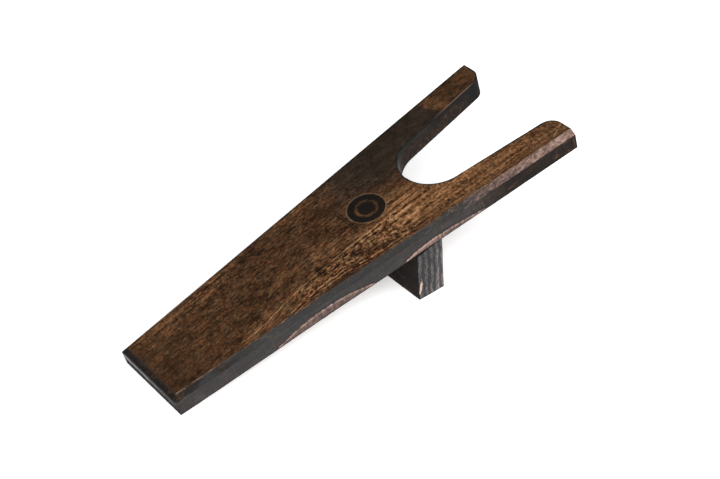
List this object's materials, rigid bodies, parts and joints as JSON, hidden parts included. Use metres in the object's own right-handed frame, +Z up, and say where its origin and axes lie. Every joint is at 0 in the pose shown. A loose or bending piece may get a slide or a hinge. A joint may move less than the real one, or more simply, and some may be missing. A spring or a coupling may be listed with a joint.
{
  "type": "boot jack",
  "caption": "Wooden boot jack: a tapered, chamfered board with a U-shaped heel notch in its wide end, raised at that end by a foot block.",
  "frame": {"origin": "on the floor, at the middle of the whole object's length and width", "axes": "+X from the narrow end towards the notched end, along the floor; +Y to the left when looking along +X; +Z up"},
  "size_m": [0.3256, 0.1194, 0.0826],
  "materials": {
    "board_wood": "dark brown stain over open-grained hardwood, satin, bare wood showing at worn edges",
    "block_wood": "dark grey-brown stain, sawn growth rings on the ends",
    "screw_steel": "zinc-plated steel"
  },
  "bodies": {
    "root": {"board": "board_wood", "foot_block": "block_wood", "screw_left": "screw_steel", "screw_right": "screw_steel"}
  },
  "joints": []
}
